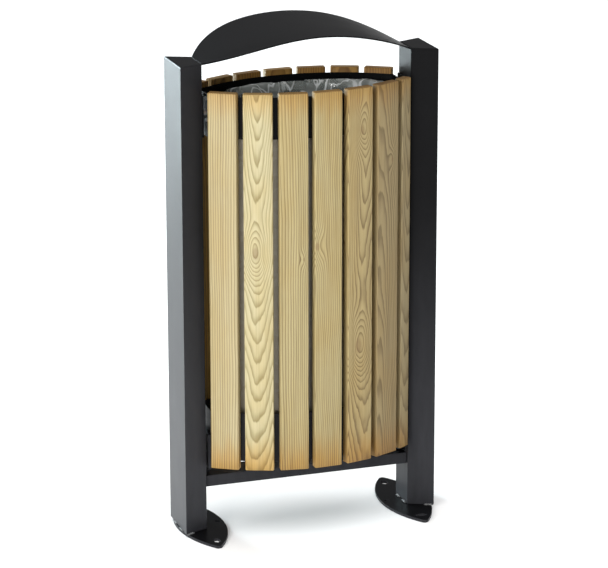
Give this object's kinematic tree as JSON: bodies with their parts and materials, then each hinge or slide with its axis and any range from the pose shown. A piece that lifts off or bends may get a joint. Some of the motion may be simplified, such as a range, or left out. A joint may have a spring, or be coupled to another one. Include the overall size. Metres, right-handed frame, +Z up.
{
  "type": "litter bin",
  "caption": "Street litter bin: oval basket of wooden slats hung between two steel posts under an arched roof; the basket tips forward on low pivots when its side lock is opened.",
  "frame": {"origin": "centre of the bin's footprint, on the floor under the foot plates", "axes": "+Z up, -Y the front that the basket tips towards, +X to the right seen from the front"},
  "size_m": [0.559, 0.276, 1.0666],
  "materials": {
    "black_powder_coat": "fine satin powder coat",
    "slat_wood": "oiled pine with visible grain",
    "liner_coat": "galvanised sheet with a dull brown-grey bloom",
    "zinc_plate": "zinc plated",
    "white_nylon": "moulded nylon",
    "bag_film": "thin clear film"
  },
  "bodies": {
    "frame": {"left_post": "black_powder_coat", "right_post": "black_powder_coat", "left_post_cap": "black_powder_coat", "right_post_cap": "black_powder_coat", "left_foot_plate": "black_powder_coat", "right_foot_plate": "black_powder_coat", "roof": "black_powder_coat", "crossbar": "black_powder_coat", "left_keeper_plate": "black_powder_coat", "right_guide_plate": "black_powder_coat", "left_pivot_plate": "black_powder_coat", "right_pivot_plate": "black_powder_coat", "left_pivot_bush": "white_nylon", "right_pivot_bush": "white_nylon"},
    "basket": {"upper_hoop": "black_powder_coat", "lower_hoop": "black_powder_coat", "liner": "liner_coat", "floor_plate": "zinc_plate", "slat_screws": "zinc_plate", "left_pivot_lug": "black_powder_coat", "right_pivot_lug": "black_powder_coat", "left_pivot_pin": "zinc_plate", "right_pivot_pin": "zinc_plate", "lock_case": "zinc_plate", "lock_case_screws": "zinc_plate", "ring_hinge_bracket": "black_powder_coat", "ring_hinge_pin": "zinc_plate", "bag": "bag_film", "front_slat_1": "slat_wood", "front_slat_2": "slat_wood", "front_slat_3": "slat_wood", "front_slat_4": "slat_wood", "front_slat_5": "slat_wood", "front_slat_6": "slat_wood", "front_slat_7": "slat_wood", "rear_slat_1": "slat_wood", "rear_slat_2": "slat_wood", "rear_slat_3": "slat_wood", "rear_slat_4": "slat_wood", "rear_slat_5": "slat_wood", "rear_slat_6": "slat_wood", "rear_slat_7": "slat_wood"},
    "key": {"key_spindle": "zinc_plate"},
    "bolt": {"lock_bolt": "zinc_plate"},
    "ring": {"bag_ring": "black_powder_coat"}
  },
  "joints": [
    {"name": "basket_tilt", "type": "hinge", "parent": "frame", "child": "basket", "pos_m": [0, -0.01, 0.14], "axis": [1, 0, 0], "range_deg": [0, 45]},
    {"name": "key_turn", "type": "hinge", "parent": "basket", "child": "key", "pos_m": [-0.19197, -0.01114, 0.908], "axis": [0, 0, 1], "range_deg": [0, 90]},
    {"name": "bolt_slide", "type": "slide", "parent": "basket", "child": "bolt", "axis": [1, 0, 0], "range_m": [0, 0.018]},
    {"name": "ring_lift", "type": "hinge", "parent": "basket", "child": "ring", "pos_m": [0, 0.094, 0.9135], "axis": [-1, 0, 0], "range_deg": [0, 40]}
  ],
  "couplings": [
    {"joint": "bolt_slide", "follows": "key_turn", "m_per_rad": 0.011459}
  ]
}
